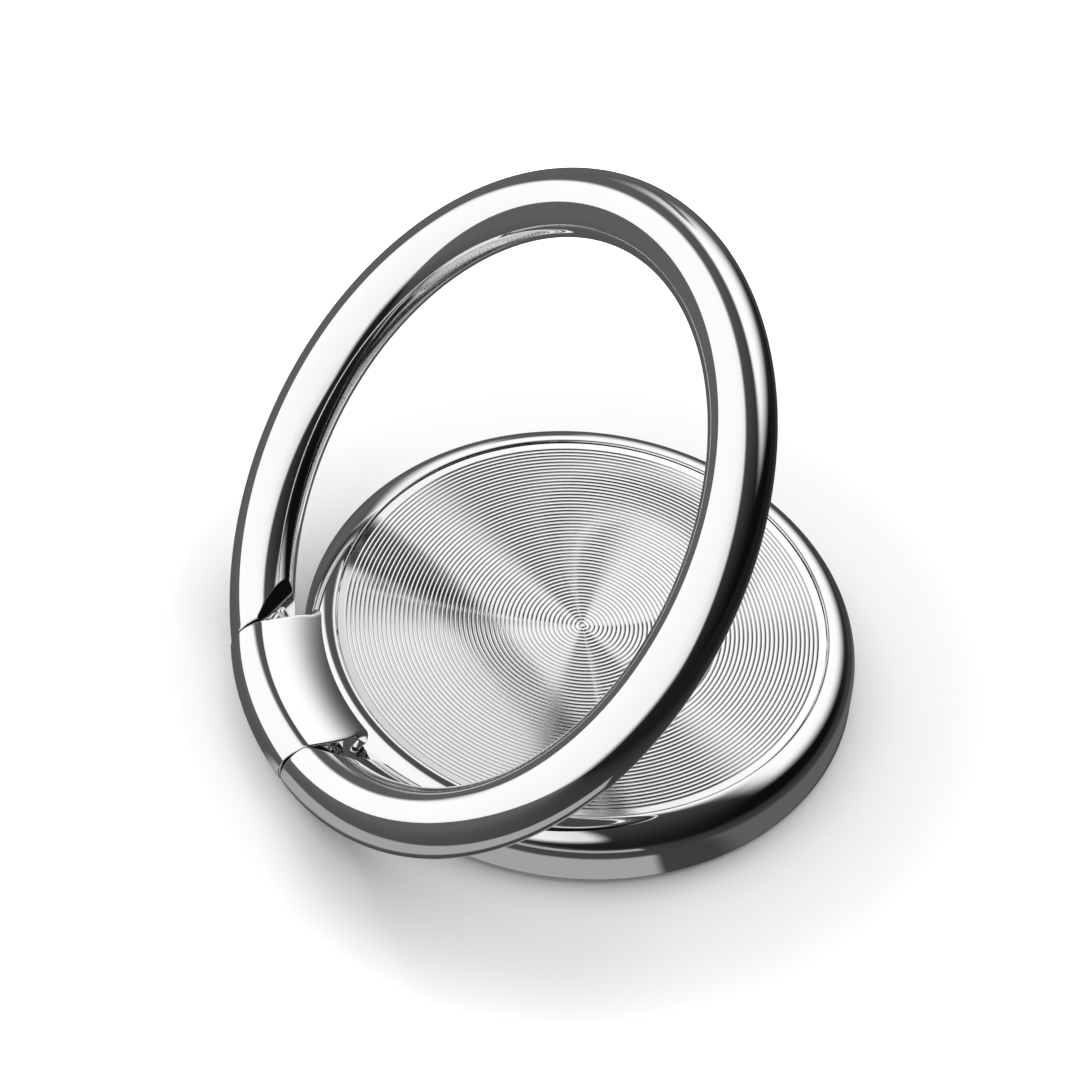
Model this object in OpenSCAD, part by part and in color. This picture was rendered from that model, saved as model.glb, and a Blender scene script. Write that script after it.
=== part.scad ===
// Phone ring holder: a finger ring hinged to a chrome body that swivels on a base stuck to
// the back of a phone. The origin is on the phone's surface, under the middle of the body.
// The hinge lies on the -X side with its axis along Y, and the ring opens towards +X.

/* [Body] */
// Diameter of the body at its side wall
body_d = 36; // [33:0.5:42]
// Height of the body's flat rim above the phone
body_h = 4.3; // [4.1:0.1:5.2]
// Height of the upright side wall
wall_h = 1.95; // [1.6:0.05:2.2]
// Gap between the side wall and the phone
wall_gap = 0.25; // [0.15:0.05:0.4]
// Thickness of the side wall
wall_t = 1.2; // [0.8:0.1:1.6]
// Radial width of the shoulder from the rim to the ledge
shoulder_w = 1.7; // [1.5:0.05:1.9]
// Width of the flat rim round the inlay
rim_w = 0.2; // [0.1:0.05:0.5]
// Edge break along the side wall's lower edge
edge_break = 0.1; // [0.05:0.05:0.2]
// Width of the ledge between the side wall and the shoulder
ledge_w = 0.1; // [0.05:0.05:0.2]
// Thickness of the deck under the inlay
deck_t = 1.15; // [1:0.05:1.3]

/* [Inlay] */
// Thickness of the inlay disc
inlay_t = 0.5; // [0.3:0.05:0.6]
// How far the inlay lies under the rim
inlay_sink = 0.12; // [0.05:0.01:0.2]
// Gap between the inlay's edge and the rim
inlay_gap = 0.1; // [0.05:0.01:0.2]
// Thickness of the film that holds the inlay
film_t = 0.08; // [0.05:0.01:0.12]
// Number of turned grooves
groove_count = 54; // [20:1:64]
// Depth of a turned groove
groove_depth = 0.03; // [0.01:0.005:0.05]
// Width of the plain border round the grooves
border_w = 0.45; // [0.3:0.05:1]

/* [Ring] */
// Width of the ring's oval section, measured in the ring's own plane
ring_section_w = 4.5; // [4:0.1:5]
// Thickness of the ring's oval section
ring_section_t = 4; // [3.8:0.05:4.1]
// Gap between the closed ring and the body's side wall
ring_clear = 0.25; // [0.25:0.05:1]
// Gap between the closed ring and the phone
ring_lift = 0.2; // [0.15:0.05:0.3]
// Angle at which the ring stands open, measured from lying flat round the body
ring_open_angle = 49.5; // [0:0.5:120]
// Start of the relief on the ends' inner side, measured from the hinge axis
relief_start = 1.35; // [1.2:0.05:1.5]
// Slope of the relief, measured from the hinge's cross direction
relief_angle = 47; // [40:1:55]

/* [Knuckle and neck] */
// Width of the knuckle along the hinge
knuckle_w = 10.5; // [9:0.1:12]
// Depth of the hollow across the neck's top, measured from the knuckle's crown
neck_dip = 0.12; // [0.06:0.02:0.2]
// Radius of the hollow across the neck's top
neck_hollow_r = 16; // [14:0.5:20]
// Height of the neck's underside above the phone
neck_under = 0.7; // [0.4:0.1:1]
// Radius that widens the neck's sides into the body, seen from above
root_r = 1.4; // [1:0.1:1.6]
// Distance outside the rim at which that widening leaves the shoulder
root_step = 0.2; // [0.1:0.05:0.4]

/* [Hinge] */
// Gap between the knuckle's end and the ring's end
hinge_gap = 0.3; // [0.25:0.05:0.5]
// Distance of the hinge axis outside the middle of the ring's end faces
hinge_out = 0.2; // [0.15:0.05:0.3]
// Diameter of the hinge pin
pin_d = 1.4; // [1.2:0.1:1.6]
// Length of pin held in each end of the ring
pin_grip = 1.9; // [1.4:0.1:2]
// Radial clearance of the pin in the ring
pin_clear = 0.04; // [0.02:0.01:0.1]
// Outer diameter of the hinge washers
hinge_washer_d = 2.9; // [2.5:0.1:3.4]
// Thickness of the hinge washers
hinge_washer_t = 0.2; // [0.15:0.05:0.2]

/* [Swivel] */
// Thickness of the adhesive pad
pad_t = 0.45; // [0.35:0.05:0.5]
// Distance of the pad's edge inside the base plate's edge
pad_inset = 0.2; // [0.1:0.1:1]
// Thickness of the base plate
plate_t = 1; // [0.8:0.05:1.1]
// Gap between the base plate's edge and the side wall
plate_clear = 0.3; // [0.3:0.05:0.6]
// Diameter of the rivet's shank
rivet_d = 4; // [3:0.1:5]
// Diameter of the rivet's head
rivet_head_d = 8; // [7:0.1:9]
// Thickness of the rivet's head
rivet_head_t = 0.35; // [0.25:0.05:0.4]
// Radial clearance of the body on the rivet
rivet_clear = 0.05; // [0.02:0.01:0.1]
// Thickness of the washer under the rivet's head
head_washer_t = 0.15; // [0.1:0.05:0.2]
// Width of the plastic glide washer
glide_w = 3; // [2:0.1:5]
// Gap between the glide washer's edge and the side wall
glide_inset = 0.5; // [0.4:0.1:1]
// Width of the wave washer's band
wave_w = 2.2; // [1.5:0.1:3]
// Thickness of the wave washer's strip
wave_t = 0.2; // [0.15:0.05:0.3]

/* [Hidden] */
$fn = 96;
// Overlap that makes a cut pass cleanly through a face
cut = 0.5;

// Body heights and radii
body_r = body_d / 2;
wall_top = wall_gap + wall_h;
shoulder_rise = body_h - wall_top;
shoulder_foot_r = body_r - ledge_w;
rim_r = shoulder_foot_r - shoulder_w;
recess_r = rim_r - rim_w;
// The shoulder is an arc that stands upright on the ledge and meets the rim's edge
shoulder_r = (pow(shoulder_rise, 2) + pow(shoulder_w, 2)) / (2 * shoulder_w);
shoulder_cx = shoulder_foot_r - shoulder_r;
inlay_r = recess_r - inlay_gap;
recess_z = body_h - inlay_sink - inlay_t - film_t;
ceiling_z = recess_z - deck_t;
cavity_r = body_r - wall_t;
wall_mid_r = body_r - wall_t / 2;

// Ring and hinge places
section_w = ring_section_w / 2;
section_t = ring_section_t / 2;
ring_r = body_r + ring_clear + section_w;
ring_end_y = knuckle_w / 2 + hinge_gap;
hinge_x = -sqrt(pow(ring_r, 2) - pow(ring_end_y, 2)) - hinge_out;
hinge_z = ring_lift + section_t;
// The hollow's lowest line lies midway between the rim and the knuckle's crown
hollow_cr = (ring_r + rim_r) / 2;
hollow_cz = hinge_z + section_t - neck_dip + neck_hollow_r;
// Place where the neck leaves the shoulder, and the height in the deck where its inner end starts
root_x = rim_r + root_step;
root_z = ceiling_z + deck_t / 4;
// Points along the widening's outline, and how far its quarter circle cuts into the side wall
root_steps = 16;
root_bite = 0.1;

// Swivel stack
plate_r = cavity_r - plate_clear;
plate_top = pad_t + plate_t;
stack_h = ceiling_z - plate_top;
// Clearance over the glide washer, and behind the pin in each blind hole
glide_clear = 0.05;
end_play = 0.15;
// Clearance over the rivet's head and beside it
head_clear = 0.1;
head_side_clear = 0.6;
head_recess_d = rivet_head_d + 2 * head_side_clear;
head_recess_z = recess_z - head_washer_t - rivet_head_t - head_clear;
// The rivet's flare is as high as it is wide
rivet_flare_h = 0.6;
rivet_flare_d = rivet_d + 2 * rivet_flare_h;
// Crests of the wave washer and the points along it
wave_count = 3;
wave_steps = 72;
// Facets round the inlay, kept low because of its many grooves
groove_fn = 48;

// Solid of revolution about Z from a flat profile whose first axis is the radius
module turned() { rotate_extrude() children(); }

// A cylinder along Y between two places
module y_cylinder(r, y0, y1) { translate([0, y1, 0]) rotate([90, 0, 0]) cylinder(r = r, h = y1 - y0); }

// Outer profile of the body: side wall, narrow ledge, round shoulder and flat rim
module body_profile() {
    polygon([
        [0, wall_gap], [body_r - edge_break, wall_gap], [body_r, wall_gap + edge_break],
        [body_r, wall_top], [0, wall_top]
    ]);
    translate([0, wall_top - cut]) square([shoulder_cx, shoulder_rise + cut]);
    intersection() {
        translate([shoulder_cx, wall_top]) circle(r = shoulder_r);
        translate([shoulder_cx - cut, wall_top - cut]) square([shoulder_r + cut, shoulder_rise + cut]);
    }
}

// Profile of the body's hollows, from the cavity over the base up to the inlay's recess
module hollow_profile() {
    bore_r = rivet_d / 2 + rivet_clear;
    polygon([
        [-cut, -cut], [cavity_r, -cut], [cavity_r, ceiling_z], [bore_r, ceiling_z],
        [bore_r, head_recess_z], [head_recess_d / 2, head_recess_z], [head_recess_d / 2, recess_z],
        [recess_r, recess_z], [recess_r, body_h + cut], [-cut, body_h + cut]
    ]);
}

// The ring's oval section
module ring_section() {
    translate([ring_r, hinge_z]) scale([section_w / section_t, 1]) circle(r = section_t);
}

// Knuckle section with the neck that runs from it into the body
module neck_profile() {
    ring_section();
    difference() {
        union() {
            // The inner end is buried in the side wall, and above that in the deck
            translate([wall_mid_r, neck_under])
                square([ring_r - wall_mid_r, hinge_z + section_t - neck_under]);
            translate([root_x, root_z])
                square([ring_r - root_x, hinge_z + section_t - root_z]);
        }
        translate([hollow_cr, hollow_cz]) circle(r = neck_hollow_r);
    }
}

// Knuckle and neck, cut to width square to the hinge
module knuckle() {
    intersection() {
        turned() neck_profile();
        translate([-(ring_r + section_w + cut), -knuckle_w / 2, 0])
            cube([ring_r + section_w, knuckle_w, body_h]);
    }
}

// Height of the shoulder's surface at a radius
function shoulder_z(r) = wall_top + sqrt(max(0, pow(shoulder_r, 2) - pow(r - shoulder_cx, 2)));

// Widening of the neck's side into the body. Its top follows the shoulder's outline in the
// plane where the widening starts, and seen from above its side is a hollow quarter circle.
module root_wing() {
    side_y = knuckle_w / 2;
    foot_y = sqrt(pow(shoulder_foot_r, 2) - pow(root_x, 2));
    // The quarter circle meets the side wall at a shallow angle
    centre_y = side_y + root_r;
    centre_x = -sqrt(pow(body_r + root_r - root_bite, 2) - pow(centre_y, 2));
    roof = [
        for (i = [0:root_steps])
            let (y = foot_y * i / root_steps) [y, shoulder_z(norm([root_x, y]))]
    ];
    // Its inner end is buried in the side wall
    inner_r = (cavity_r + norm([root_x, side_y])) / 2;
    intersection() {
        translate([0, 0, neck_under]) linear_extrude(body_h - neck_under) difference() {
            translate([centre_x, side_y - cut]) square([-centre_x - cavity_r + wall_t, root_r + cut]);
            translate([centre_x, centre_y]) circle(r = root_r);
            circle(r = inner_r);
        }
        translate([-body_r - root_r, 0, 0]) rotate([90, 0, 90]) linear_extrude(root_r + 2 * wall_t)
            polygon(concat(roof, [[foot_y, neck_under], [0, neck_under]]));
    }
}

// Chrome casting: shoulder, side wall, neck and knuckle in one piece
module swivel_body() {
    color("gainsboro") difference() {
        union() {
            turned() difference() {
                body_profile();
                hollow_profile();
            }
            knuckle();
            root_wing();
            mirror([0, 1, 0]) root_wing();
        }
        translate([hinge_x, 0, hinge_z]) y_cylinder(pin_d / 2, -knuckle_w, knuckle_w);
    }
}

// Ring as it lies flat round the body, its ends cut square to the hinge
module flat_ring() {
    reach = ring_r + section_w + cut;
    height = ring_section_t + 2 * cut;
    difference() {
        turned() ring_section();
        // Space for the knuckle between the two ends
        translate([-reach, -ring_end_y, 0]) cube([reach, 2 * ring_end_y, height]);
        for (side = [0, 1]) mirror([0, side, 0]) {
            // Relief on the inner side of the end, which clears the neck's root
            translate([hinge_x + relief_start, ring_end_y, 0]) rotate([0, 0, relief_angle - 90])
                translate([0, -ring_section_w, 0]) cube([ring_section_w, 3 * ring_section_w, height]);
            // Blind hinge hole
            translate([hinge_x, 0, hinge_z])
                y_cylinder(pin_d / 2 + pin_clear, ring_end_y - cut, ring_end_y + pin_grip + end_play);
        }
    }
}

// Ring standing open on its hinge
module finger_ring() {
    color("silver") translate([hinge_x, 0, hinge_z]) rotate([0, -ring_open_angle, 0])
        translate([-hinge_x, 0, -hinge_z]) flat_ring();
}

// Thin metal disc with turned circular grooves inside a plain border
module inlay_disc() {
    top = body_h - inlay_sink;
    low = top - inlay_t;
    pitch = (inlay_r - border_w) / groove_count;
    grooves = [
        for (i = [0:groove_count - 1])
            each [[i * pitch, top], [(i + 0.5) * pitch, top - groove_depth]]
    ];
    outline = concat([[0, low]], grooves, [[inlay_r - border_w, top], [inlay_r, top], [inlay_r, low]]);
    color("lightgray") rotate_extrude($fn = groove_fn) polygon(outline);
}

// Adhesive film under the inlay, cut out over the rivet's head
module inlay_film() {
    color("lightyellow") turned()
        translate([head_recess_d / 2, recess_z]) square([inlay_r - head_recess_d / 2, film_t]);
}

// Steel pin pressed through the knuckle, with its ends in the ring
module hinge_pin() {
    reach = ring_end_y + pin_grip;
    color("dimgray") translate([hinge_x, 0, hinge_z]) y_cylinder(pin_d / 2, -reach, reach);
}

// Thin friction washer on the pin, in the middle of the hinge gap
module hinge_washer(side) {
    middle = side * (knuckle_w / 2 + hinge_gap / 2);
    color("black") translate([hinge_x, middle, hinge_z]) difference() {
        y_cylinder(hinge_washer_d / 2, -hinge_washer_t / 2, hinge_washer_t / 2);
        y_cylinder(pin_d / 2 + pin_clear, -cut, cut);
    }
}

// Rivet: head in the body's recess, shank through body and plate, flare in the plate's underside
module swivel_rivet() {
    head_z = head_recess_z + head_washer_t;
    color("darkgray") turned() polygon([
        [0, pad_t], [rivet_flare_d / 2, pad_t], [rivet_d / 2, pad_t + rivet_flare_h],
        [rivet_d / 2, head_z], [rivet_head_d / 2, head_z],
        [rivet_head_d / 2, head_z + rivet_head_t], [0, head_z + rivet_head_t]
    ]);
}

// Flat washer between the rivet's head and the body
module rivet_washer() {
    bore_r = rivet_d / 2 + rivet_clear;
    color("gray") turned() translate([bore_r, head_recess_z])
        square([rivet_head_d / 2 - bore_r, head_washer_t]);
}

// Wavy spring washer round the rivet, between the base plate and the body
module wave_washer() {
    inner_r = rivet_d / 2 + 2 * rivet_clear;
    swing = (stack_h - wave_t - 2 * glide_clear) / 2;
    middle = plate_top + stack_h / 2;
    ring_of = function (i, r, up)
        let (a = 360 * i / wave_steps)
            [r * cos(a), r * sin(a), middle + swing * cos(wave_count * a) + up * wave_t / 2];
    points = [
        for (i = [0:wave_steps - 1])
            each [
                ring_of(i, inner_r, -1), ring_of(i, inner_r + wave_w, -1),
                ring_of(i, inner_r + wave_w, 1), ring_of(i, inner_r, 1)
            ]
    ];
    faces = [
        for (i = [0:wave_steps - 1], k = [0:3])
            let (a = 4 * i, b = 4 * ((i + 1) % wave_steps), n = (k + 1) % 4)
                [a + k, a + n, b + n, b + k]
    ];
    color("slategray") polyhedron(points, faces);
}

// Plastic washer near the rim, on which the body slides
module glide_washer() {
    outer_r = cavity_r - glide_inset;
    color("ivory") turned() translate([outer_r - glide_w, plate_top])
        square([glide_w, stack_h - glide_clear]);
}

// Steel plate that stays with the phone, countersunk underneath for the rivet's flare
module base_plate() {
    color("darkgray") turned() polygon([
        [rivet_flare_d / 2, pad_t], [plate_r, pad_t], [plate_r, plate_top],
        [rivet_d / 2, plate_top], [rivet_d / 2, pad_t + rivet_flare_h]
    ]);
}

// Foam adhesive pad between the base plate and the phone
module adhesive_pad() {
    color("black") cylinder(r = plate_r - pad_inset, h = pad_t);
}

finger_ring();
swivel_body();
inlay_disc();
inlay_film();
hinge_pin();
hinge_washer(1);  // hinge_washer_left
hinge_washer(-1);  // hinge_washer_right
swivel_rivet();
rivet_washer();
wave_washer();
glide_washer();
base_plate();
adhesive_pad();
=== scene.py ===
"""The chrome phone ring holder, dressed round its CAD frame.

The polished ring, the polished body and the turned inlay are fine surfaces worked out with
numpy. The other pieces are the CAD nodes themselves with finishes of their own. Lengths inside
the shape functions are millimetres, and they become metres when a mesh is made.
"""
import math
import bmesh
import bpy
import mathutils
import numpy as np
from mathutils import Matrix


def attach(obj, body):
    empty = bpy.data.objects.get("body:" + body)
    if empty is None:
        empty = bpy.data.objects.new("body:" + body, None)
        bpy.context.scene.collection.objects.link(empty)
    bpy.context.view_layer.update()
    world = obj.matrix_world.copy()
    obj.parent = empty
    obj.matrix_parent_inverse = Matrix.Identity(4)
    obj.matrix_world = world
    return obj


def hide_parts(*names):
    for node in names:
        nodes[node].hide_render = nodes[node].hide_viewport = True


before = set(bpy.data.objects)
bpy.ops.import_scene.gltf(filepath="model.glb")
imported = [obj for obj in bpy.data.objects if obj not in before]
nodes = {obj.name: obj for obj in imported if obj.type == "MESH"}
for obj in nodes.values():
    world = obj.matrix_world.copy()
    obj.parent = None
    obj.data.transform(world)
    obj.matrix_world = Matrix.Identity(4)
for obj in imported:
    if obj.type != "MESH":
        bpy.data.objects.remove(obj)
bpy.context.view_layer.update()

MM = 0.001

# Ring and hinge
RING_R = 20.5
OVAL_W = 2.25
OVAL_T = 2.0
HINGE_X = -19.9345
HINGE_Z = 2.2
OPEN_ANGLE = math.radians(49.5)
END_Y = 5.55
RELIEF_X = HINGE_X + 1.35
RELIEF_ANGLE = math.radians(47)
HOLE_R = 0.74
HOLE_DEPTH = 2.05
EDGE = 0.1
RELIEF_EDGE = 0.05
EDGE_RUN = 0.3  # inside the crease, EDGE narrows to RELIEF_EDGE over this distance
FACE_BORDER = 0.05  # narrow strip inside the rounded edge that keeps the end face flat

# Body
WALL_R = 18.0
WALL_LOW = 0.25
WALL_TOP = 2.2
SHOULDER_FOOT_R = 18.0
RIM_R = 16.2
BODY_TOP = 4.3
RECESS_R = 16.0
RECESS_Z = 3.6
CEILING_Z = 2.45
CAVITY_R = 16.8
BORE_R = 2.05
HEAD_RECESS_R = 4.6
HEAD_RECESS_Z = 3.0
BREAK = 0.1
WALL_HEIGHTS = (1.7, 1.2, 0.7, 0.45)

# Knuckle and neck
KNUCKLE_Y = 5.25
NECK_UNDER = 0.7
HOLLOW_R = 18.4
HOLLOW_CURVE = 32.0
CREASE_R = 20.85
ROOT_R = 16.5
ROOT_LOW_R = 17.3
ROOT_LOW_Z = 2.3
ROOT_HIGH_Z = 2.9
FILLET_R = 0.45
FILLET_SPREAD = 0.8
ROOT_EDGE = 0.8
ROOT_EDGE_START_R = 18.5
ROOT_EDGE_RUN = 1.7
LIP = 0.17
LIP_RUN = 0.1
POCKET_R = 1.65
POCKET_SHIFT = 0.3  # the pocket's middle lies this far outside the pin's

# Inlay
INLAY_R = 15.94
INLAY_TOP = 4.18
INLAY_T = 0.5
BORDER_R = 15.45
GROOVES = 54
GROOVE_DEPTH = 0.036
LAND = 0.36  # share of a groove's width that is flat
VALLEY = 0.5 + LAND / 2  # where in a groove's width its lowest point lies
INLAY_BREAK = 0.04

# How finely the shapes are divided
SECTION_STEPS = 72
OUTER_SHARE = 0.66
RING_STEPS = 440
END_STEPS = 30
END_REACH = math.radians(32)
FLAT_STEPS = 12
TURN_STEPS = 400
SHOULDER_STEPS = 56
TOP_STEPS, SIDE_STEPS, UNDER_STEPS, CORNER_STEPS = 30, 43, 9, 12
DENSE_END_R = 18.6  # the knuckle's sections are closer together inside this radius
MERGE = 5e-7  # metres


# ---- meshes -------------------------------------------------------------------------------

def grid_faces(rows, cols, first=0):
    """Quads of a grid of points counted row by row, starting at the given point."""
    corner = first + np.arange(rows - 1)[:, None] * cols + np.arange(cols - 1)[None, :]
    return np.stack([corner, corner + 1, corner + cols + 1, corner + cols], -1).reshape(-1, 4)


def make_piece(name, sheets, body, replaced, sharp=35):
    """One closed object from sheets, each a grid of points in millimetres.

    Neighbouring sheets share their border points, which are merged, so that seams and poles
    close, and then the faces are turned outwards. Edges sharper than the angle stay crisp."""
    points = np.concatenate([sheet.reshape(-1, 3) for sheet in sheets]) * MM
    firsts = np.cumsum([0] + [sheet.shape[0] * sheet.shape[1] for sheet in sheets[:-1]])
    faces = np.concatenate([
        grid_faces(sheet.shape[0], sheet.shape[1], first) for sheet, first in zip(sheets, firsts)])
    mesh = bpy.data.meshes.new(name)
    mesh.from_pydata(points.tolist(), [], faces.tolist())
    shell = bmesh.new()
    shell.from_mesh(mesh)
    bmesh.ops.remove_doubles(shell, verts=shell.verts, dist=MERGE)
    bmesh.ops.recalc_face_normals(shell, faces=shell.faces)
    shell.to_mesh(mesh)
    shell.free()
    mesh.shade_smooth()
    mesh.set_sharp_from_angle(angle=math.radians(sharp))
    piece = bpy.data.objects.new(name, mesh)
    bpy.context.scene.collection.objects.link(piece)
    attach(piece, body)
    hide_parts(*replaced)
    return piece


def turned_sheet(profile, steps):
    """A profile of radius and height carried once round the Z axis."""
    angle = np.linspace(0, 2 * np.pi, steps + 1)
    r, z = np.asarray(profile, float).T
    return np.stack([
        np.cos(angle)[:, None] * r, np.sin(angle)[:, None] * r,
        np.broadcast_to(z, (steps + 1, len(z)))], -1)


def blend(a, b, weight):
    """Straight blend from a to b."""
    return a + (b - a) * weight


# ---- finger ring --------------------------------------------------------------------------

def end_angle(r):
    """Sweep angle from -X at which the ring's end face or its relief cuts the radius r.

    The end face is the plane Y = END_Y, so the sine is END_Y / r. The relief is a slanting
    plane through RELIEF_X: its distance from the axis divided by r is the cosine of the
    angle measured from the plane's normal. The larger angle is where metal begins."""
    slope = np.pi / 2 - RELIEF_ANGLE
    reach = -RELIEF_X * np.cos(slope) + END_Y * np.sin(slope)
    relief = slope - np.arccos(np.clip(reach / r, -1, 1))
    return np.maximum(np.arcsin(END_Y / r), relief)


def polar(r, angle, z):
    """Point at radius r, at an angle from -X towards +Y, and at height z."""
    r, angle, z = np.broadcast_arrays(r, angle, z)
    return np.stack([-r * np.cos(angle), r * np.sin(angle), z], -1)


def section_angles(width, crease_r, count):
    """Angles round the oval section, with one exactly where it passes the crease's radius.

    Also the places in the list of the crease and of the inner side."""
    crease = np.arccos((crease_r - RING_R) / width)
    outer = np.linspace(0, crease, int(count * OUTER_SHARE))
    inner = np.linspace(crease, np.pi, int(count * (1 - OUTER_SHARE)))
    half = np.concatenate([outer, inner[1:]])
    return np.concatenate([half, -half[-2::-1]]), len(outer) - 1, len(half) - 1


def ring_sheets():
    """The open ring, flat round the body: an oval section swept from one end to the other.

    Each end has a rounded edge, a Bezier arc from the sweep to the end face with its middle
    point on the sharp edge, a flat face with the blind hinge hole, and the slanting relief."""
    crease_r = math.hypot(RELIEF_X, END_Y)
    angles, crease, inner = section_angles(OVAL_W, crease_r, SECTION_STEPS)
    edge_r = RING_R + OVAL_W * np.cos(angles)
    edge_z = HINGE_Z + OVAL_T * np.sin(angles)
    start = end_angle(edge_r)
    width = blend(EDGE, RELIEF_EDGE, np.clip((crease_r - edge_r) / EDGE_RUN, 0, 1))
    mouth = start + width / edge_r
    near = blend(mouth, END_REACH, np.linspace(0, 1, END_STEPS)[:, None])
    middle = np.broadcast_to(
        np.linspace(END_REACH, 2 * np.pi - END_REACH, RING_STEPS)[:, None],
        (RING_STEPS, len(angles)))
    sweep = np.concatenate([near, middle[1:-1], 2 * np.pi - near[::-1]])
    sheets = [polar(edge_r, sweep, edge_z)]

    def face_point(extra):
        """Loop on the end face, inside its outline by the edge's width and a little more."""
        loop, _, _ = section_angles(OVAL_W - EDGE - extra, crease_r, SECTION_STEPS)
        r = RING_R + (OVAL_W - width - extra) * np.cos(loop)
        return polar(r, end_angle(r), HINGE_Z + (OVAL_T - width - extra) * np.sin(loop))

    torus_side = polar(edge_r, mouth, edge_z)
    corner = polar(edge_r, start, edge_z)
    face_side = face_point(0)
    bend = np.linspace(0, 1, 6)[:, None, None]
    rounding = (1 - bend) ** 2 * torus_side + 2 * bend * (1 - bend) * corner + bend ** 2 * face_side
    support = face_point(FACE_BORDER)
    rows = [rounding, np.stack([face_side, support])]

    # Flat face: from its outline, closed along the crease, to the blind hole
    count = len(angles)
    across = np.linspace(0, 1, FLAT_STEPS)
    crease_line = blend(support[crease], support[count - 1 - crease], across[:, None])
    outline = np.concatenate([support[count - 1 - crease:], support[1:crease + 1], crease_line[1:]])
    centre = np.array([HINGE_X, END_Y, HINGE_Z])
    spoke = outline - centre
    rim = centre + spoke * (HOLE_R / np.linalg.norm(spoke, axis=1))[:, None]
    floor = rim + np.array([0, HOLE_DEPTH, 0])
    bottom = np.broadcast_to(centre + np.array([0, HOLE_DEPTH, 0]), rim.shape)
    rows += [np.stack([outline, rim]), np.stack([rim, floor]), np.stack([floor, bottom])]

    # Relief: strips from the crease to the inner side
    upper = support[crease:inner + 1]
    lower = support[count - 1 - crease:inner - 1:-1]
    relief = blend(upper[:, None], lower[:, None], across[None, :, None])
    rows.append(relief)
    for sheet in rows:
        sheets += [sheet, sheet * np.array([1, -1, 1])]
    return sheets


def opened(sheet):
    """A sheet of the flat ring turned about the hinge to the angle at which it stands open."""
    x, z = sheet[..., 0] - HINGE_X, sheet[..., 2] - HINGE_Z
    c, s = math.cos(OPEN_ANGLE), math.sin(OPEN_ANGLE)
    return np.stack([c * x - s * z + HINGE_X, sheet[..., 1], s * x + c * z + HINGE_Z], -1)


# ---- body ---------------------------------------------------------------------------------

def arc(cr, cz, radius, start, stop, count=6):
    """Points of a small rounding, from one angle to another in degrees."""
    a = np.radians(np.linspace(start, stop, count))
    return np.stack([cr + radius * np.cos(a), cz + radius * np.sin(a)], -1)


def body_profile():
    """Closed outline of the turned casting: over the shoulder, down the wall and back inside.

    The shoulder is a quarter ellipse, flat at the rim and upright where it meets the wall."""
    lean = np.linspace(0, np.pi / 2, SHOULDER_STEPS)
    shoulder = np.stack([
        RIM_R + (SHOULDER_FOOT_R - RIM_R) * np.sin(lean),
        WALL_TOP + (BODY_TOP - WALL_TOP) * np.cos(lean)], -1)
    return np.concatenate([
        [[BORE_R, CEILING_Z], [BORE_R, HEAD_RECESS_Z], [HEAD_RECESS_R, HEAD_RECESS_Z],
         [HEAD_RECESS_R, RECESS_Z], [RECESS_R, RECESS_Z], [RECESS_R, BODY_TOP - 2 * BREAK]],
        arc(RECESS_R + BREAK, BODY_TOP - BREAK, BREAK, 180, 90),
        shoulder,
        [[WALL_R, height] for height in WALL_HEIGHTS],
        arc(WALL_R - BREAK, WALL_LOW + BREAK, BREAK, 0, -90),
        [[CAVITY_R + BREAK, WALL_LOW], [CAVITY_R, WALL_LOW + BREAK], [CAVITY_R, CEILING_Z],
         [BORE_R, CEILING_Z]],
    ])


def oval_half(r):
    """Half the height of the ring's oval section at a radius: an ellipse's equation."""
    return OVAL_T * np.sqrt(np.clip(1 - ((r - RING_R) / OVAL_W) ** 2, 0, 1))


def neck_top(r):
    """Height of the knuckle and neck: the oval outside CREASE_R, and inside it a hollow, a
    circle's lowest stretch that meets the oval there."""
    def circle(r):
        return HOLLOW_CURVE - np.sqrt(HOLLOW_CURVE ** 2 - (r - HOLLOW_R) ** 2)

    hollow = HINGE_Z + oval_half(CREASE_R) + circle(r) - circle(CREASE_R)
    return np.where(r > CREASE_R, HINGE_Z + oval_half(r), hollow)


def neck_low(r):
    """Height of the underside: the oval's, but inside the ring's radius at most NECK_UNDER."""
    oval = HINGE_Z - oval_half(r)
    return np.where(r > RING_R, oval, np.minimum(oval, NECK_UNDER))


def fillet(r, z):
    """How far the neck's side spreads beside the body: by a parabola of the distance from the
    shoulder, which is its ellipse's equation's excess over one, divided by its slope."""
    wide, tall = SHOULDER_FOOT_R - RIM_R, BODY_TOP - WALL_TOP
    u, v = (r - RIM_R) / wide, np.maximum(z - WALL_TOP, 0) / tall
    f = np.hypot(u, v)
    distance = np.clip((f - 1) * f / np.hypot(u / wide, v / tall), 0, FILLET_R)
    return FILLET_SPREAD * (FILLET_R - distance) ** 2 / FILLET_R


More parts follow.
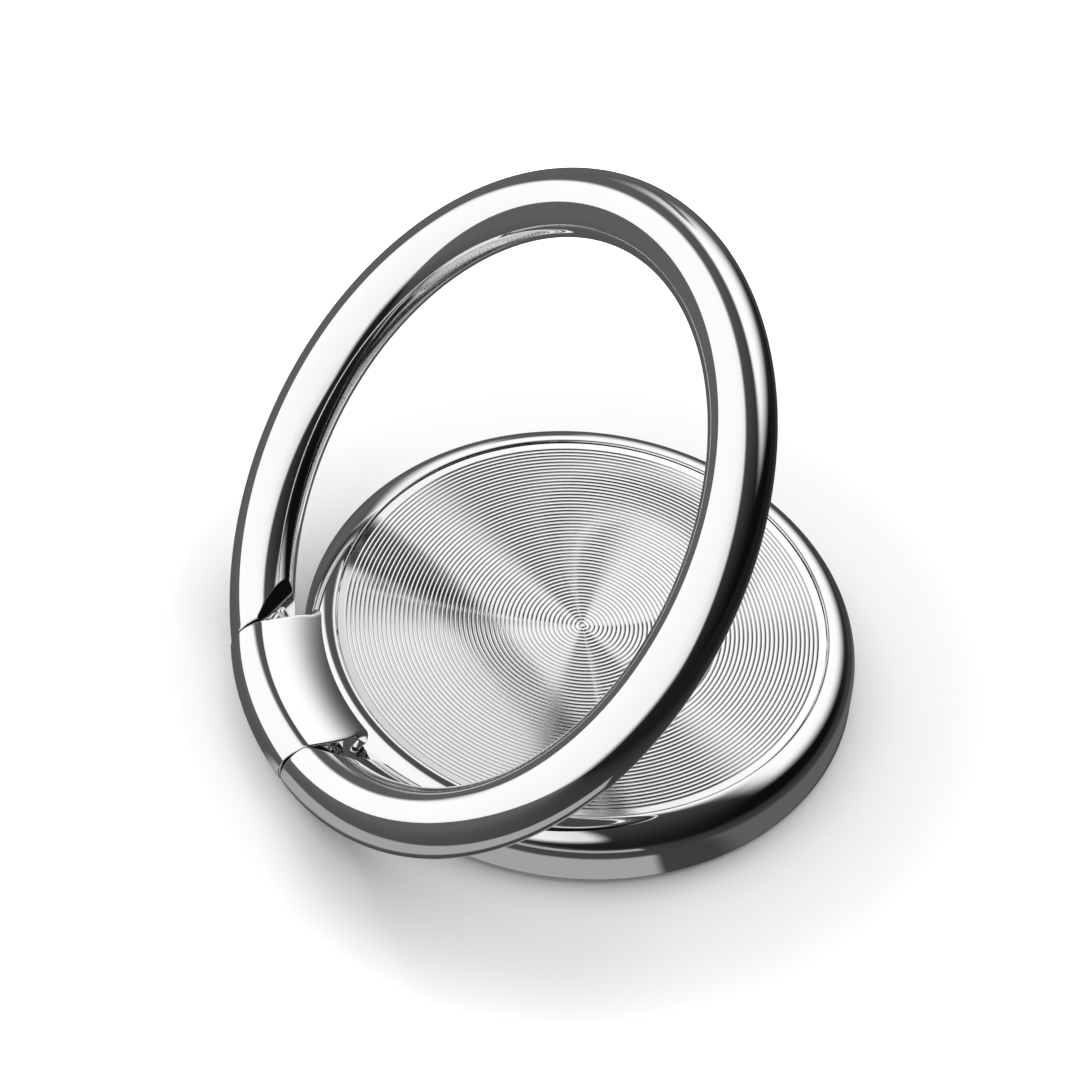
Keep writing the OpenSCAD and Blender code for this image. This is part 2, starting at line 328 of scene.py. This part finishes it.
def knuckle_sheets():
    """Knuckle and neck as one closed skin, a loft of upright sections.

    A section lies on the cylinder of its radius. It runs from the middle of the top over a
    rounded corner and down the side to the middle of the underside. The side is KNUCKLE_Y
    away, stands out by LIP round the washer's pocket, and spreads by the fillet at the body.
    The corner's radius grows from EDGE to ROOT_EDGE towards the body. Below ROOT_HIGH_Z the
    innermost sections draw back to ROOT_LOW_R, so that they stay inside the casting."""
    turn = np.linspace(0, np.pi / 2, CORNER_STEPS + 1)[1:]
    s_top = np.linspace(0, 1, TOP_STEPS)
    s_side = np.linspace(0, 1, SIDE_STEPS + 1)[1:]
    s_under = np.linspace(1, 0, UNDER_STEPS + 1)[1:]
    corner = TOP_STEPS + CORNER_STEPS
    foot = corner + SIDE_STEPS
    under = foot + CORNER_STEPS
    sections = []
    lean = np.linspace(math.asin((CREASE_R - RING_R) / OVAL_W), np.pi / 2, 44)
    crown = np.concatenate([
        np.linspace(ROOT_R, DENSE_END_R, 56), np.linspace(DENSE_END_R, CREASE_R, 24)[1:]])
    for r in np.concatenate([crown, RING_R + OVAL_W * np.sin(lean[1:])]):
        high, low = neck_top(r), neck_low(r)
        inward = np.clip((ROOT_EDGE_START_R - r) / ROOT_EDGE_RUN, 0, 1)
        e = np.minimum(blend(EDGE, ROOT_EDGE, inward ** 1.5), (high - low) / 2.5)
        z = np.concatenate([
            np.full(TOP_STEPS, high), high - e + e * np.cos(turn),
            high - e - (high - low - 2 * e) * s_side, low + e - e * np.sin(turn),
            np.full(UNDER_STEPS, low)])
        from_pin = np.hypot(r + HINGE_X - POCKET_SHIFT, z - HINGE_Z)
        lip = LIP * np.clip((from_pin - POCKET_R) / LIP_RUN, 0, 1)
        side = KNUCKLE_Y + lip + fillet(r, z)
        y = np.concatenate([
            s_top * (side[:TOP_STEPS] - e),
            side[TOP_STEPS:corner] - e + e * np.sin(turn),
            side[corner:foot],
            side[foot:under] - e + e * np.cos(turn),
            s_under * (side[under:] - e)])
        above = np.clip((z - ROOT_LOW_Z) / (ROOT_HIGH_Z - ROOT_LOW_Z), 0, 1)
        at = blend(max(r, ROOT_LOW_R), r, above)
        sections.append(np.stack([-np.sqrt(at ** 2 - y ** 2), y, z], -1))
    half = np.array(sections)
    end = half[0]
    inner_cap = np.stack([end, end * np.array([1, 0, 1])])
    sheets = [half, inner_cap]
    return sheets + [sheet * np.array([1, -1, 1]) for sheet in sheets]


# ---- inlay --------------------------------------------------------------------------------

def inlay_profile():
    """Thin disc whose top carries turned grooves: a flat land, a flank down and a flank up,
    one after the other outwards."""
    corners = np.array([0, LAND, VALLEY])
    depths = np.array([0, 0, GROOVE_DEPTH])
    r = (np.arange(GROOVES)[:, None] + corners).ravel() * BORDER_R / GROOVES
    z = INLAY_TOP - np.tile(depths, GROOVES)
    low = INLAY_TOP - INLAY_T
    return np.concatenate([
        [[0, low], [0, INLAY_TOP]],
        np.stack([r, z], -1)[1:],
        [[BORDER_R, INLAY_TOP], [INLAY_R - INLAY_BREAK, INLAY_TOP]],
        arc(INLAY_R - INLAY_BREAK, INLAY_TOP - INLAY_BREAK, INLAY_BREAK, 90, 0, 4),
        [[INLAY_R, low], [0, low]],
    ])


ring = make_piece(
    "polished_ring", [opened(sheet) for sheet in ring_sheets()], "ring",
    ["finger_ring"])
body = make_piece(
    "polished_body", [turned_sheet(body_profile(), TURN_STEPS)] + knuckle_sheets(), "swivel",
    ["swivel_body"])
inlay = make_piece(
    "turned_inlay", [turned_sheet(inlay_profile(), TURN_STEPS)], "swivel",
    ["inlay_disc"], sharp=8)


# ---- finishes -----------------------------------------------------------------------------

class Value:
    """A shader socket on which arithmetic adds Math nodes."""

    def __init__(self, tree, socket):
        self.tree = tree
        self.socket = socket

    def math(self, operation, *others):
        """One Math node on this value and the others."""
        return self.tree.add("ShaderNodeMath", {"operation": operation}, [self, *others])

    def __add__(self, other):
        return self.math("ADD", other)

    __radd__ = __add__

    def __mul__(self, other):
        return self.math("MULTIPLY", other)

    __rmul__ = __mul__

    def __sub__(self, other):
        return self.math("SUBTRACT", other)

    def __rsub__(self, other):
        return self.math("MULTIPLY", -1.0).math("ADD", other)

    def __truediv__(self, other):
        return self.math("DIVIDE", other)

    def between(self, low, high):
        """0 below low, 1 above high, and a smooth step between them."""
        return self.tree.add(
            "ShaderNodeMapRange", {"interpolation_type": "SMOOTHSTEP"}, [self, low, high, 0.0, 1.0])


class Tree:
    """The node tree of a finish, a floor or the world."""

    def __init__(self, owner):
        owner.use_nodes = True
        self.nodes = owner.node_tree.nodes
        self.links = owner.node_tree.links
        self.nodes.clear()

    def add(self, kind, settings=None, inputs=(), output=0):
        """A node with its settings and its sockets' values or links, as a Value of an output."""
        node = self.nodes.new(kind)
        for key, setting in (settings or {}).items():
            setattr(node, key, setting)
        pairs = inputs.items() if isinstance(inputs, dict) else enumerate(inputs)
        for key, value in pairs:
            if isinstance(value, Value):
                self.links.new(value.socket, node.inputs[key])
            else:
                node.inputs[key].default_value = value
        return Value(self, node.outputs[output] if len(node.outputs) else None)

    def place(self):
        """Object coordinates."""
        return self.add("ShaderNodeTexCoord", output=3)

    def split(self, vector):
        """X, Y and Z of a vector."""
        node = self.add("ShaderNodeSeparateXYZ", inputs=[vector]).socket.node
        return [Value(self, node.outputs[i]) for i in range(3)]

    def noise(self, vector, scale, detail=3.0, rough=0.55):
        """Noise between 0 and 1."""
        return self.add("ShaderNodeTexNoise", {}, {
            "Vector": vector, "Scale": scale, "Detail": detail, "Roughness": rough})

    def stretch(self, vector, scale):
        """The vector with each axis scaled."""
        return self.add("ShaderNodeVectorMath", {"operation": "MULTIPLY"}, [vector, scale])

    def tint(self, factor, dark, light):
        """A colour between two colours."""
        return self.add("ShaderNodeMix", {"data_type": "RGBA"}, {
            0: factor, 6: (*dark, 1.0), 7: (*light, 1.0)}, output=2)

    def bump(self, height, strength, distance):
        """A normal that follows a height."""
        return self.add("ShaderNodeBump", {}, {
            "Height": height, "Strength": strength, "Distance": distance})

    def finish(self, **sockets):
        """The Principled shader with its values and links, joined to the output."""
        named = {key.replace("_", " "): value for key, value in sockets.items()}
        shader = self.add("ShaderNodeBsdfPrincipled", {}, named)
        self.output(shader)

    def output(self, shader):
        """Joins a shader to the material's output."""
        self.add("ShaderNodeOutputMaterial", {}, [shader])


def new_finish(name):
    """A material and its tree."""
    material = bpy.data.materials.new(name)
    return material, Tree(material)


def chrome(name):
    """Bright chrome plating: a mirror with the faintest haze and wipe marks."""
    material, t = new_finish(name)
    haze = t.noise(t.place(), 260.0, 4.0)
    wipe = t.noise(t.stretch(t.place(), (90.0, 900.0, 900.0)), 1.0, 2.0)
    rough = 0.025 + 0.02 * haze + 0.012 * wipe
    t.finish(
        Base_Color=t.tint(haze, (0.87, 0.87, 0.872), (0.9, 0.9, 0.9)), Metallic=1.0,
        Roughness=rough)
    return material


def radius_of(t):
    """Distance from the Z axis, in metres."""
    x, y, _ = t.split(t.place())
    return (x * x + y * y).math("SQRT")


def turned_metal(name, dark, light, rough, pitch, valley_shade=0.0):
    """Metal turned on a lathe: fine rings of uneven brightness and depth round the Z axis.

    With a share given, painted shade darkens the inlay's grooves by it where they are deepest."""
    material, t = new_finish(name)
    r = radius_of(t)
    line = t.add("ShaderNodeCombineXYZ", inputs=[r / pitch])
    fine = t.noise(line, 1.0, 5.0, 0.7)
    broad = t.noise(t.place(), 300.0, 3.0)
    colour = t.tint(fine, dark, light)
    # Painted shade: the grooves' deepest parts are darkened in colour.
    if valley_shade:
        border = BORDER_R * MM
        off = ((r * (GROOVES / border)).math("FRACT") - VALLEY).math("ABSOLUTE")
        painted_groove_shade = (1 - off.between(0.05, 0.2)) * (1 - (r - border).math("GREATER_THAN", 0.0))
        colour = t.add("ShaderNodeMix", {"data_type": "RGBA"}, {
            0: painted_groove_shade, 6: colour, 7: (*[(1 - valley_shade) * part for part in dark], 1.0)}, output=2)
    t.finish(
        Base_Color=colour, Metallic=1.0,
        Roughness=rough + 0.06 * fine + 0.04 * broad,
        Normal=t.bump(fine, 0.12, 0.000005))
    return material


def plated_steel(name, dark, light, rough, grain):
    """Zinc-plated or rolled steel: a fine grain along one way and soft patches."""
    material, t = new_finish(name)
    streak = t.noise(t.stretch(t.place(), grain), 1.0, 4.0)
    patch = t.noise(t.place(), 400.0, 4.0)
    t.finish(
        Base_Color=t.tint(streak * 0.5 + patch * 0.5, dark, light), Metallic=1.0,
        Roughness=rough + 0.15 * patch, Normal=t.bump(streak, 0.25, 0.00001))
    return material


def moulded(name, dark, light, rough):
    """Moulded plastic: an even colour with a fine spark-eroded texture."""
    material, t = new_finish(name)
    grain = t.noise(t.place(), 5000.0, 2.0)
    cloud = t.noise(t.place(), 300.0, 3.0)
    t.finish(
        Base_Color=t.tint(cloud, dark, light), Roughness=rough + 0.1 * grain,
        Normal=t.bump(grain, 0.3, 0.00001))
    return material


def foam_tape(name):
    """Closed-cell foam tape: dark, matt, with small open cells on the cut face."""
    material, t = new_finish(name)
    cells = t.add("ShaderNodeTexVoronoi", {}, {"Vector": t.place(), "Scale": 4200.0})
    t.finish(
        Base_Color=t.tint(cells, (0.02, 0.02, 0.022), (0.05, 0.05, 0.055)),
        Roughness=0.7 + 0.2 * cells, Normal=t.bump(cells, 0.5, 0.00003))
    return material


def sticky_film(name):
    """Double-sided film: pale, slightly glossy, with faint wrinkles."""
    material, t = new_finish(name)
    wrinkle = t.noise(t.place(), 700.0, 4.0)
    t.finish(
        Base_Color=t.tint(wrinkle, (0.7, 0.68, 0.6), (0.8, 0.78, 0.72)),
        Roughness=0.3 + 0.2 * wrinkle, Normal=t.bump(wrinkle, 0.3, 0.00002))
    return material


def dress(node_name, material):
    """The CAD node takes the finish in all its material slots."""
    for entry in nodes[node_name].material_slots:
        entry.material = material


ring.data.materials.append(chrome("ring_chrome_finish"))
body.data.materials.append(chrome("body_chrome_finish"))
# The last value is the share of painted shade in the inlay's groove valleys.
inlay.data.materials.append(turned_metal(
    "turned_aluminium_finish", (0.92, 0.92, 0.925), (0.98, 0.98, 0.985), 0.05, 0.00004, 0.5))
bright = turned_metal("bright_steel_finish", (0.5, 0.5, 0.51), (0.68, 0.68, 0.69), 0.2, 0.00006)
pin_steel = plated_steel(
    "pin_steel_finish", (0.5, 0.5, 0.51), (0.68, 0.68, 0.69), 0.2, (3000.0, 400.0, 3000.0))
spring = plated_steel(
    "spring_steel_finish", (0.33, 0.34, 0.37), (0.5, 0.5, 0.52), 0.25, (600.0, 4000.0, 600.0))
plate = plated_steel(
    "plate_steel_finish", (0.46, 0.46, 0.48), (0.62, 0.62, 0.63), 0.28, (350.0, 5000.0, 350.0))
nylon = moulded("black_nylon_finish", (0.03, 0.03, 0.03), (0.06, 0.06, 0.06), 0.5)
acetal = moulded("natural_acetal_finish", (0.76, 0.76, 0.73), (0.84, 0.84, 0.81), 0.35)
foam = foam_tape("foam_finish")
film = sticky_film("film_finish")
for node_name, material in (
        ("inlay_film", film), ("hinge_pin", pin_steel), ("hinge_washer_left", nylon),
        ("hinge_washer_right", nylon), ("swivel_rivet", bright), ("rivet_washer", bright),
        ("wave_washer", spring), ("glide_washer", acetal), ("base_plate", plate),
        ("adhesive_pad", foam)):
    dress(node_name, material)


# ---- studio -------------------------------------------------------------------------------

WHITE = (1, 1, 1, 1)


def heading(azimuth, elevation):
    """Unit vector towards an azimuth from +X and an elevation, in degrees."""
    a, e = math.radians(azimuth), math.radians(elevation)
    return (math.cos(e) * math.cos(a), math.cos(e) * math.sin(a), math.sin(e))


def studio_light():
    """The world: two large white diffusers in a dim room, and white where the camera sees it.

    A diffuser is the part of the sky on the inner side of each of its edges. An edge is given
    by the direction that its inner side faces, and by how far along it the light begins and is
    full. The room's light is a smooth sum of low powers of the direction's X, Y and Z."""
    world = bpy.data.worlds.new("studio")
    bpy.context.scene.world = world
    t = Tree(world)
    sky = t.add("ShaderNodeTexCoord", output=0)

    def along(direction):
        """How far the sky's direction points along another."""
        return t.add(
            "ShaderNodeVectorMath", {"operation": "DOT_PRODUCT"}, [sky, direction], output=1)

    def diffuser(edges):
        mask = 1.0
        for direction, low, high in edges:
            mask = along(direction).between(low, high) * mask
        return mask

    left = diffuser([
        (heading(187, 8.5), 0.202, 0.334), (heading(166, -15), -1.5, 0.34),
        (heading(168.5, 59), 0.197, 0.445)])
    right = diffuser([
        (heading(14.6, -31.8), -0.165, -0.028), (heading(36.2, -14.3), 0.077, 0.331),
        (heading(4.5, -7.1), 0.022, 0.21), (heading(64.4, 64), 0.43, 0.9)])
    x, y, z = t.split(sky)
    room = (0.044 - 0.024 * x + 0.046 * y - 0.007 * z - 0.02 * x * y - 0.012 * y * z
            - 0.018 * x * z - 0.013 * (x * x - y * y) + 0.018 * z * z).math("MAXIMUM", 0.004)
    # An upright dark bar stands before the right diffuser's lower part
    beside = along(heading(161.5, 0)).math("ABSOLUTE")
    bar = (1 - beside.between(0.035, 0.08)) * (1 - z.between(0.36, 0.46))
    level = left * 0.99 + right * (1 - 0.9 * bar) * 1.06 + room * 1.1
    path = t.add("ShaderNodeLightPath").socket.node
    camera_ray = Value(t, path.outputs["Is Camera Ray"])
    glossy_ray = Value(t, path.outputs["Is Glossy Ray"])
    # Matt surfaces get less of it than mirrors do, because the lamps light them too
    glow = t.add("ShaderNodeBackground", {}, {
        "Color": WHITE, "Strength": level * (0.45 + 0.55 * glossy_ray)})
    backdrop = t.add("ShaderNodeBackground", {}, {"Color": WHITE, "Strength": 1.0})
    both = t.add("ShaderNodeMixShader", {}, [camera_ray, glow, backdrop])
    t.add("ShaderNodeOutputWorld", {}, [both])


def shadow_lamps():
    """Two wide soft lamps that metal doesn't mirror: they give the floor's shadow.

    With the world they light a level face so that its colour renders as it is written."""
    for name, energy, width, towards in (
            ("back_lamp", 1.7, 72, (110, 56)), ("side_lamp", 1.18, 56, (15, 52))):
        lamp = bpy.data.lights.new(name, "SUN")
        lamp.energy = energy
        lamp.angle = math.radians(width)
        holder = bpy.data.objects.new(name, lamp)
        bpy.context.scene.collection.objects.link(holder)
        direction = mathutils.Vector(heading(*towards))
        holder.rotation_euler = direction.to_track_quat("Z", "Y").to_euler()
        holder.visible_glossy = False


def painted_floor_reflection(x, y, distance):
    """What the metal mirrors of the floor, painted as a glow: dim ground, lighter to the back left,
    with two painted light patches to the front left and a painted grey one to the front right,
    close to the body."""
    side = y * 0.7 - x * 0.7
    front = 0 - y
    ground = 0.012 + 0.11 * side.between(-0.07, 0.06)
    # A painted light sickle that widens towards the front, and a painted light strip beside the
    # body's foot
    band = ((distance - 0.2 * front).between(0.0213, 0.0223)
            * (1 - (distance - 0.29 * front).between(0.0255, 0.0268))
            * front.between(0.002, 0.004))
    outside_foot = distance.between(0.0181, 0.0183)
    strip = ((1 - distance.between(0.0200, 0.0212)) * x.between(-0.0145, -0.0125)
             * outside_foot * front.between(0.01, 0.012))
    light = band.math("MAXIMUM", strip) * (1 - x.between(-0.0006, 0.0004))
    grey = (x.between(0.004, 0.0065) * (1 - distance.between(0.0205, 0.024))
            * outside_foot * (1 - y.between(-0.004, 0.004)))
    painted_floor_tone = ground + (0.4 - ground) * light
    return painted_floor_tone + (0.12 - painted_floor_tone) * grey


def pale_floor():
    """White floor just under the pad. It keeps the object's shadow, and metal mirrors from it a
    painted reflection: a dim glow with painted light patches.

    Its own glow, which only the camera sees, makes up what the lamps leave short of white.
    It grows from 23 to 48 mm from the axis, where the shadow fades out."""
    size, under = 3.0, -0.00002
    mesh = bpy.data.meshes.new("floor")
    mesh.from_pydata(
        [(-size, -size, under), (size, -size, under), (size, size, under), (-size, size, under)],
        [], [(0, 1, 2, 3)])
    floor = bpy.data.objects.new("floor", mesh)
    bpy.context.scene.collection.objects.link(floor)
    material, t = new_finish("floor_finish")
    x, y, _ = t.split(t.place())
    path = t.add("ShaderNodeLightPath").socket.node
    camera_ray = Value(t, path.outputs["Is Camera Ray"])
    glossy_ray = Value(t, path.outputs["Is Glossy Ray"])
    distance = (x * x + y * y).math("SQRT")
    own = 0.1 + 0.9 * distance.between(0.023, 0.048)
    matt = t.add("ShaderNodeBsdfDiffuse", {}, {"Color": (0.9, 0.9, 0.9, 1)})
    glow = t.add("ShaderNodeEmission", {}, {"Color": WHITE, "Strength": own * camera_ray})
    seen = t.add("ShaderNodeAddShader", {}, [matt, glow])
    # Glossy rays see the floor as a glow with painted light patches on dim ground: a painted
    # reflection.
    painted_floor_tone = painted_floor_reflection(x, y, distance)
    dim = t.add("ShaderNodeEmission", {}, {"Color": WHITE, "Strength": painted_floor_tone})
    t.output(t.add("ShaderNodeMixShader", {}, [glossy_ray, seen, dim]))
    mesh.materials.append(material)


def photo_camera():
    """The photograph's view: a long lens, from the front left and above, slightly rolled.

    Its azimuth is counted from -Y, and target and distance are in millimetres."""
    azimuth, elevation, roll = math.radians(-23.0485), math.radians(48.3219), math.radians(6.9446)
    target, distance = np.array([1.0368, 11.1021, 0.0]), 435.93
    back = np.array([
        math.sin(azimuth) * math.cos(elevation), -math.cos(azimuth) * math.cos(elevation),
        math.sin(elevation)])
    level = np.array([math.cos(azimuth), math.sin(azimuth), 0.0])
    upright = np.cross(back, level)
    right = math.cos(roll) * level + math.sin(roll) * upright
    up = np.cross(back, right)
    data = bpy.data.cameras.new("camera")
    data.sensor_width = 36
    data.lens = 218.66
    camera = bpy.data.objects.new("camera", data)
    matrix = np.eye(4)
    matrix[:3, :3] = np.stack([right, up, back], -1)
    matrix[:3, 3] = (target + back * distance) * MM
    camera.matrix_world = mathutils.Matrix(matrix.tolist())
    bpy.context.scene.collection.objects.link(camera)
    bpy.context.scene.camera = camera


studio_light()
shadow_lamps()
pale_floor()
photo_camera()
bpy.context.scene.view_settings.view_transform = "Standard"
